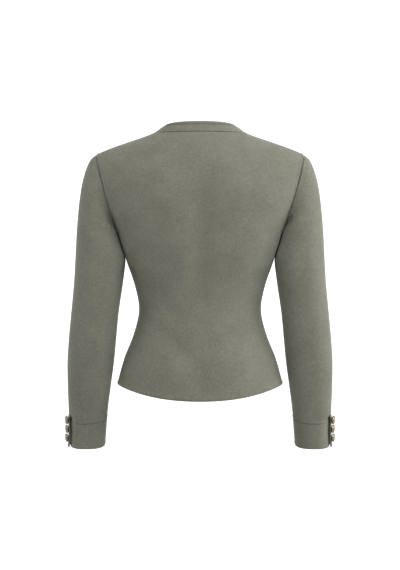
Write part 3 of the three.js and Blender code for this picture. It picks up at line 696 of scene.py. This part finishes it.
def back_panel():
    middle = np.linspace(0, NECK_TURN, 35) * QUARTER
    middle = np.broadcast_to(middle, (len(LEVELS), len(middle)))
    half = np.concatenate([middle, side_turns(edge_turn(BACK, LEVELS))], 1)
    turns = np.concatenate([-half[:, :0:-1], half], 1)
    return panel("knit_back", BACK, turns, BACK_CREASES)


def front_turns():
    """Turns of a front's columns from its lapping edge to its side edge, a row for each level."""
    edge = edge_turn(FRONT, LEVELS)
    lap = solve(
        lambda turn: body_base(FRONT, turn, LEVELS)[..., 0] - OVERLAP,
        np.zeros(len(LEVELS)),
        np.full(len(LEVELS), QUARTER),
    )[:, None]
    near_edge = [0, 0.006, 0.016, 0.03, 0.05, 0.08, 0.13]
    lap_shares = np.concatenate([near_edge, np.linspace(0.19, 1, 16)]) * 2 - 1
    middle = np.linspace(0, 1, 24)[1:]
    turns = [lap * lap_shares, lerp(lap, NECK_TURN * QUARTER, middle), side_turns(edge)]
    return np.concatenate(turns, 1)


def front_panels():
    turns = front_turns()
    right = panel("knit_front_right", FRONT, -turns, FRONT_CREASES, loose_first=True)
    left = panel("knit_front_left", FRONT, turns, FRONT_CREASES, loose_first=True, sunk=under_lap)
    return right, left


# ---- sleeves ---------------------------------------------------------------------------------
UPPER_ARM, LAST = 6, len(SLEEVE_ROWS) - 1
HANDS = (("left", 1), ("right", -1))
# Where the sleeve's columns and rows lie, in shares of its girth and in rows of SLEEVE_ROWS.
NEAR_EDGE = np.array([0, 0.0008, 0.002, 0.0042, 0.0075, 0.012])
CAP_ROWS = [0, 0.02, 0.05, 0.09, 0.14, 0.2, 0.27, 0.35, 0.44, 0.54, 0.65]
CUFF_ROWS = np.array([0.11, 0.08, 0.055, 0.036, 0.021, 0.01, 0.004, 0])
LINE_ROWS = np.array([-0.06, -0.035, -0.018, 0, 0.018, 0.035, 0.06])
MIDDLE_COLUMN = 60
ALONG_STEP, DOWN_STEP, ROUND_STEP = 0.3, 0.1, 0.02  # for slopes of its surface


def cuff_height(height):
    """Section number at a height above the cuff."""
    z = SLEEVE.at("outZ", LAST) + height
    low, high = np.array(float(UPPER_ARM)), np.array(float(LAST))
    return float(solve(lambda v: z - SLEEVE.at("outZ", v), low, high))


def section(v):
    """Middle, half width and half depth of the left sleeve's section at a row number v."""

    def points(at):
        out = np.stack([SLEEVE.at("outX", at), SLEEVE.at("y", at), SLEEVE.at("outZ", at)], -1)
        inn = np.stack([SLEEVE.at("inX", at), SLEEVE.at("y", at), SLEEVE.at("inZ", at)], -1)
        return out, (out + inn) / 2

    v = np.asarray(v, float)
    out, middle = points(v)
    ahead, behind = np.minimum(v + ALONG_STEP, LAST), np.maximum(v - ALONG_STEP, 0)
    along = points(ahead)[1] - points(behind)[1]
    pitch = smooth(v, 2, 8)
    lean = -along[..., 1] / np.sum(along * along, -1) * pitch
    backward = unit(np.array([0.0, 1, 0]) + along * lean[..., None])
    return middle, out - middle, backward * SLEEVE.at("deep", v)[..., None]


def on_section(parts, angle):
    middle, half, back = parts
    exponent = 2 / SLEEVE_ROUND
    across, behind = power(np.cos(angle), exponent), power(np.sin(angle), exponent)
    return middle + half * across[..., None] + back * behind[..., None]


def armhole_loop():
    """Fine outline of the left armhole from the underarm up the back, and down the front."""
    levels = np.concatenate(
        [lerp(UNDERARM_Z, ARC_Z, (np.arange(60) / 60) ** 1.3), np.linspace(ARC_Z, TOP, 140)]
    )
    back = body_point(BACK, edge_turn(BACK, levels), levels)
    front = body_point(FRONT, edge_turn(FRONT, levels), levels)
    return np.concatenate([back, front[::-1][1:]])


def sleeve_grids(creases_behind):
    """Both grids of the left sleeve, its cloth coordinates and the row where its vent opens."""
    loop = armhole_loop()[:-1]
    base = section(0.0)
    middle, half, back = base
    from_middle = loop - middle
    first_angles = np.arctan2(
        power(from_middle @ back / (back @ back), SLEEVE_ROUND / 2),
        power(from_middle @ half / (half @ half), SLEEVE_ROUND / 2),
    )
    start = math.radians(VENT["edge"])
    upper = np.flatnonzero(np.arange(len(loop)) < np.argmin(np.abs(first_angles)))
    first = upper[np.argmin(np.abs(first_angles[upper] - start))]
    loop = np.roll(loop, -first, axis=0)
    loop = np.concatenate([loop, loop[:1]])
    angles = np.roll(first_angles, -first)
    angles = np.concatenate([angles, angles[:1] - 2 * math.pi])
    angles[1:-1] -= 2 * math.pi * (angles[1:-1] > angles[0] + 1e-6)
    angles = np.minimum.accumulate(angles)

    shares = np.concatenate([NEAR_EDGE, np.linspace(0.018, 0.982, 126), 1 - NEAR_EDGE[::-1]])
    length = run(loop, 0)
    at = shares * length[-1]
    seam = np.stack([np.interp(at, length, loop[:, k]) for k in range(3)], -1)
    unwrapped = np.interp(at, length, angles)
    regular = start - shares * 2 * math.pi

    vent_top = cuff_height(VENT["height"])
    opened = cuff_height(VENT["height"] - VENT["part"])
    full = cuff_height(VENT["height"] - 3 * VENT["part"])
    line = cuff_height(CUFF_HEM_DEPTH)
    upper = np.concatenate([CAP_ROWS, np.linspace(0.77, 11.8, 120)])
    upper = upper[upper < vent_top - 0.02]
    below = [np.linspace(vent_top, LAST - 0.15, 46), LAST - CUFF_ROWS, line + LINE_ROWS]
    below = np.unique(np.round(np.concatenate(below), 5))
    stations = np.concatenate([upper, below])
    split = len(upper)

    v = stations[:, None]
    even, left = smooth(v, 0, CAP_BLEND + 1), 1 - smooth(v, 0, CAP_BLEND)
    angle = lerp(unwrapped, regular, even)
    behind_edge = start - angle
    fade = math.radians(VENT["fade"])
    below_lap = smooth(behind_edge, 2 * math.pi - fade, 2 * math.pi)
    above_lap = 1 - smooth(behind_edge, 0, math.radians(VENT["flare"]))
    angle = angle - math.radians(VENT["tuck"]) * smooth(v, opened, full) * below_lap**4

    parts = section(v)
    point = on_section(parts, angle) + (seam - on_section(base, unwrapped)) * left[..., None]
    tangent = on_section(parts, angle - ROUND_STEP) - on_section(parts, angle + ROUND_STEP)
    ahead, behind = np.minimum(v + DOWN_STEP, LAST), np.maximum(v - DOWN_STEP, 0)
    down = on_section(section(ahead), angle) - on_section(section(behind), angle)
    normal = unit(np.cross(tangent, down))
    facing = np.sum(normal * (point - parts[0]), -1, keepdims=True)
    normal = np.where(facing < 0, -normal, normal)
    outward = unit(lerp(armhole_outward(seam), normal, smooth(v, 0, 0.6)[..., None]))
    parted = smooth(v, vent_top, opened)
    lifted = parted * (VENT["lift"] * above_lap - VENT["sink"] * below_lap)
    point = point + outward * lifted[..., None]
    point = point + ARMHOLE_AXIS * (SEAM_GAP + 0.05) * (1 - smooth(v, 0, 0.3))[..., None]
    rows = np.arange(len(stations))
    point[rows > split, 0] += unit(tangent)[rows > split, 0] * SEAM_GAP

    eased = [cuff_height(CUFF_HEM_DEPTH + ease) for ease in (CUFF_HEM_EASE, -CUFF_HEM_EASE)]
    thick = lerp(CLOTH, CUFF_HEM_CLOTH, smooth(v, *eased))
    inner = point - outward * np.broadcast_to(thick, angle.shape)[..., None]

    from_seam, from_cuff = ends(run(point, 0), 0)
    first_edge, last_edge = ends(run(point, 1), 1)
    y = point[..., 1] - parts[0][..., 1]
    creases = np.where(
        y > 0,
        troughs(creases_behind, point[..., 0], point[..., 2]),
        troughs(FRONT_SLEEVE_CREASES, point[..., 0], point[..., 2]),
    ) * smooth(np.abs(y), *SLEEVE_CREASE_FADE)
    ridge = smooth(np.abs(point[..., 1]), *SLEEVE_RIDGE_FADE)
    cap_valley = drawn_in(point[..., 2]) * valley(from_seam, SEAM_WIDTH, ridge)
    out = cap_valley + hem_roll(from_cuff) - creases
    out = out + np.where(point[..., 0] < parts[0][..., 0], lip(point), 0)
    # The line over the turned-up hem of the cuff fades before it reaches the vent's lapping edge.
    sloped = CUFF_LINE["slope"] * np.minimum(np.cos(angle), 0)
    height = from_cuff - CUFF_HEM_DEPTH - CUFF_LINE["above"] + sloped
    shown = smooth(first_edge, *CUFF_LINE["fades"]) * smooth(last_edge, *CUFF_LINE["fades"])
    line_ridge = LINE_RIDGE["high"] * bell(height - LINE_RIDGE["at"], LINE_RIDGE["wide"])
    line_valley = LINE_VALLEY["deep"] * bell(height, LINE_VALLEY["wide"])
    out = out + shown * (line_ridge - line_valley)
    vented = parted * np.ones_like(angle)
    side_fall = round_edge(np.minimum(first_edge, last_edge), CLOTH / 2 - EDGE_FLAT) * vented
    fall = np.maximum(side_fall, round_edge(from_cuff, CUFF_HEM_CLOTH / 2 - EDGE_FLAT))
    outer = point + outward * (out - fall)[..., None]
    inner = inner + outward * fall[..., None]
    uv = np.stack([first_edge - first_edge[:, [MIDDLE_COLUMN]], from_cuff], -1) * MM
    return outer, inner, uv, split


def sleeves():
    made = []
    for creases, (name, sign) in zip((LEFT_CREASES, RIGHT_CREASES), HANDS):
        outer, inner, uv, split = sleeve_grids(creases)
        flip = np.array([sign, 1, 1])
        made.append(wall(f"knit_sleeve_{name}", outer * flip, inner * flip, uv, KNIT, split))
    return made


# ---- neckband --------------------------------------------------------------------------------
BAND_SHARES = np.array(
    [0, 0.02, 0.05, 0.1, 0.17, 0.26, 0.38, 0.5, 0.62, 0.74, 0.83, 0.9, 0.95, 0.98, 1]
)
THINNEST = 0.3  # what is left of the strip's thickness at its ends and its groove


def neck_seam(thick):
    """The neck seam from the right front's lap, round the back, to the left front under it."""
    point = body_point(FRONT, front_turns()[-1], TOP)
    front = point[at_neck(point)]
    under = front - neck_frame(front)[1] * under_lap(front[:, 0], thick)[:, None]
    back_turns = np.linspace(-NECK_TURN, NECK_TURN, 90)[1:-1] * QUARTER
    back = body_point(BACK, back_turns, TOP)
    return np.concatenate([front * [-1, 1, 1], back, under[::-1]])


def neck_strip(name, spec):
    """The neckband or its rolled edge, standing on the neck seam."""
    thick = spec["thick"]
    seam = neck_seam(thick)
    up, out = neck_frame(seam)
    bulge = np.sqrt(np.maximum(0, 1 - (2 * BAND_SHARES - 1) ** 2))
    half = thick / 2 * (spec["ends"] + (1 - spec["ends"]) * bulge)
    length = run(seam, 0)
    loose = round_edge(np.minimum(length, length[-1] - length), thick / 2 - THINNEST)
    half = half[:, None] - loose[None, :] * (half / half.max())[:, None]
    sideways = np.minimum(1, (seam[:, 0] / NECK_X) ** 2)
    rise = spec["height"] * lerp(1, spec["sides"], sideways) * BAND_SHARES[:, None]
    middle = seam + up * (spec["foot"] + rise)[..., None] - out * (thick / 2 + spec["inset"])
    groove = np.minimum(spec["groove"] * bell(rise, GROOVE_WIDTH), 2 * half - THINNEST)
    outer, inner = middle + out * (half - groove)[..., None], middle - out * half[..., None]
    across = np.broadcast_to(length, half.shape)
    return wall(name, outer, inner, np.stack([across, rise], -1) * MM, KNIT)


# ---- buttons ---------------------------------------------------------------------------------
PROFILE = [  # radius and height as shares of the button's radius, and 1 on the dome
    (0.0, -0.1, 0), (0.2, -0.1, 0), (0.2, 0.1, 0), (0.3, 0.15, 0), (0.6, 0.165, 0),
    (0.88, 0.19, 0),
    (0.95, 0.205, 0), (0.985, 0.235, 0), (1.0, 0.275, 0), (0.995, 0.325, 0), (0.97, 0.37, 0),
    (0.93, 0.40, 0), (0.88, 0.415, 0), (0.84, 0.41, 0), (0.81, 0.385, 0), (0.785, 0.36, 0),
    (0.755, 0.352, 0), (0.73, 0.365, 1), (0.705, 0.4, 1), (0.66, 0.44, 1), (0.58, 0.487, 1),
    (0.48, 0.53, 1), (0.36, 0.568, 1), (0.24, 0.592, 1), (0.12, 0.606, 1), (0.0, 0.61, 1),
]
SEGMENTS = 56


def button(name, radius, point, normal):
    """A turned button over a point of the cloth: bronze, with the dome in a second material."""
    normal = unit(np.asarray(normal, float))
    side = unit(np.cross(normal, [0.0, 0.0, 1.0]))
    other = np.cross(normal, side)
    seat = point + normal * BUTTON_GAP
    turn = np.arange(SEGMENTS) / SEGMENTS * 2 * math.pi
    points, rings = [], []
    for r, h, _ in PROFILE:
        if r == 0:
            rings.append([len(points)])
            points.append(seat + normal * h * radius)
            continue
        rings.append(list(range(len(points), len(points) + SEGMENTS)))
        circle = side * np.cos(turn)[:, None] + other * np.sin(turn)[:, None]
        points.extend(seat + circle * r * radius + normal * h * radius)
    faces, domed = [], []
    for k in range(len(PROFILE) - 1):
        a, b = rings[k], rings[k + 1]
        for s in range(SEGMENTS):
            t = (s + 1) % SEGMENTS
            if len(a) == 1:
                faces.append([a[0], b[t], b[s]])
            elif len(b) == 1:
                faces.append([a[s], a[t], b[0]])
            else:
                faces.append([a[s], a[t], b[t], b[s]])
            domed.append(PROFILE[k + 1][2])
    p = np.array(points)
    volume = sum(np.dot(p[f[0]], np.cross(p[f[1]], p[f[2]])) for f in faces)
    if volume < 0:
        faces = [f[::-1] for f in faces]
    mesh = bpy.data.meshes.new(name)
    mesh.from_pydata((p * MM).tolist(), [], faces)
    mesh.polygons.foreach_set("use_smooth", [True] * len(faces))
    obj = piece(name, mesh, BRONZE, PEARL)
    mesh.polygons.foreach_set("material_index", domed)
    return obj


def front_button_seats():
    """Points and directions of the buttons down the middle of the front."""
    heights = FRONT_BUTTON["top"] - np.arange(FRONT_BUTTON["count"]) * FRONT_BUTTON["spacing"]
    zero = np.zeros(len(heights))

    def above(level):
        return body_point(FRONT, zero, level)[..., 2] - heights

    level = solve(above, zero + HEM_Z, zero + TOP)
    return body_point(FRONT, zero, level), body_normal(FRONT, zero, level)


def cuff_button_seats():
    """Point and direction of each button on the left cuff's lapping edge, from the lowest up."""
    seats = []
    angle = np.array(math.radians(CUFF_BUTTON["turn"]))
    tilt = math.radians(CUFF_BUTTON["tilt"])
    c, s = math.cos(tilt), math.sin(tilt)
    from_edge = VENT["edge"] - CUFF_BUTTON["turn"]
    lifted = VENT["lift"] * (1 - smooth(from_edge, 0, VENT["flare"]))
    for i in range(CUFF_BUTTON["count"]):
        parts = section(cuff_height(CUFF_BUTTON["above"] + i * CUFF_BUTTON["spacing"]))
        tangent = on_section(parts, angle - 0.1) - on_section(parts, angle + 0.1)
        normal = unit(np.cross(tangent, np.cross(parts[1], parts[2])))
        x, y, z = normal if normal[0] > 0 else -normal
        seat = on_section(parts, angle) + np.array([x, y, z]) * lifted
        seats.append((seat, np.array([c * x - s * y, s * x + c * y, z])))
    return seats


# ---- the garment -----------------------------------------------------------------------------
back = belongs(back_panel(), "back")
front_right, front_left = front_panels()
belongs(front_right, "front_right")
belongs(front_left, "front_left")
sleeve_left, sleeve_right = sleeves()
belongs(sleeve_left, "sleeve_left")
belongs(sleeve_right, "sleeve_right")
band = belongs(neck_strip("knit_neckband", BAND), "neckband")
roll = belongs(neck_strip("knit_neck_roll", ROLL), "neck_roll")

points, normals = front_button_seats()
for i in range(FRONT_BUTTON["count"]):
    node = f"front_button_{i + 1}"
    made = button(f"metal_{node}", FRONT_BUTTON["radius"], points[i], normals[i])
    belongs(made, node)
for i, (point, normal) in enumerate(cuff_button_seats()):
    for hand, sign in HANDS:
        node, flip = f"cuff_button_{hand}_{i + 1}", np.array([sign, 1, 1])
        made = button(f"metal_{node}", CUFF_BUTTON["radius"], point * flip, normal * flip)
        belongs(made, node)

# ---- studio ----------------------------------------------------------------------------------
FLOOR_Z, FLOOR_RADIUS, BEND, WALL_RADIUS, WALL_TOPS = -1.45, 3.8, 0.9, 4.7, (1.0, 3.2)
PAPER_DARK, PAPER_LIGHT = (0.54, 0.54, 0.54), (0.58, 0.58, 0.58)
LIGHTS = [  # name, place, aim, size, watts
    ("key", (-2.0, 1.7, 1.5), (0, 0.05, -0.2), 1.4, 46),
    ("right_side", (-2.8, 0.3, 0.8), (0, 0.05, -0.3), 1.6, 53),
    ("left_side", (2.6, 0.4, 1.1), (0, 0.05, -0.2), 1.6, 24),
    ("back_fill", (0.2, 2.6, 1.8), (0, 0.05, -0.2), 1.6, 21),
    ("front_fill", (-1.2, -2.8, 1.2), (0, 0, -0.3), 2.0, 18),
]
WORLD_LIGHT = 0.44
DISTANCE, AIM_Z, PIXELS, PIXEL, SENSOR = 3.2, -0.2995, 570, 0.00195, 36  # the camera's


def bowl_material():
    """Pale paper that glows most behind the garment, so that its edge stands on white."""
    n = Nodes("pale_paper")
    place = n.add("ShaderNodeNewGeometry").outputs["Position"]
    y = n.add("ShaderNodeSeparateXYZ", {"Vector": place}).outputs["Y"]
    n.drive("Base Color", n.mix(n.noise(place, 30.0, 2.0), PAPER_DARK, PAPER_LIGHT))
    n.shader.inputs["Roughness"].default_value = 0.9
    n.shader.inputs["Emission Color"].default_value = (1, 1, 1, 1)
    n.drive("Emission Strength", n.spread(y, -4.0, -1.6, 0.80, 0.02))
    return n.material


def bowl():
    """Floor disc that curves up into a round wall, open above."""
    profile = [(r, FLOOR_Z) for r in (0.0, 1.5, 3.0, FLOOR_RADIUS)]
    profile += [
        (FLOOR_RADIUS + BEND * math.sin(a), FLOOR_Z + BEND * (1 - math.cos(a)))
        for a in np.linspace(0, math.pi / 2, 12)[1:]
    ]
    profile += [(WALL_RADIUS, z) for z in WALL_TOPS]
    segments = 96
    points = [
        (r * math.cos(t), r * math.sin(t), z)
        for r, z in profile
        for t in np.arange(segments) / segments * 2 * math.pi
    ]
    faces = []
    for start in range(0, (len(profile) - 1) * segments, segments):
        above = start + segments
        for s in range(segments):
            t = (s + 1) % segments
            faces.append([start + s, start + t, above + t, above + s])
    mesh = bpy.data.meshes.new("studio_floor")
    mesh.from_pydata(points, [], faces)
    mesh.polygons.foreach_set("use_smooth", [True] * len(faces))
    return piece("studio_floor", mesh, bowl_material())


def area_light(name, place, aim, size, watts):
    light = bpy.data.lights.new(name, "AREA")
    light.shape = "DISK"
    light.size = size
    light.energy = watts
    obj = bpy.data.objects.new(name, light)
    bpy.context.scene.collection.objects.link(obj)
    obj.location = place
    obj.rotation_euler = (Vector(aim) - Vector(place)).to_track_quat("-Z", "Y").to_euler()


bowl()
world = bpy.data.worlds.new("studio")
world.use_nodes = True
background = world.node_tree.nodes["Background"]
background.inputs["Color"].default_value = (1, 1, 1, 1)
background.inputs["Strength"].default_value = WORLD_LIGHT
bpy.context.scene.world = world
for light in LIGHTS:
    area_light(*light)

camera_data = bpy.data.cameras.new("camera")
camera_data.sensor_fit = "AUTO"
camera_data.sensor_width = SENSOR
camera_data.lens = SENSOR * DISTANCE / (PIXELS * PIXEL)
camera_data.clip_end = 100
camera = bpy.data.objects.new("camera", camera_data)
bpy.context.scene.collection.objects.link(camera)
camera.location = (0, DISTANCE, AIM_Z)
camera.rotation_euler = (math.radians(90), 0, math.radians(180))
bpy.context.scene.camera = camera
bpy.context.scene.view_settings.view_transform = "Standard"
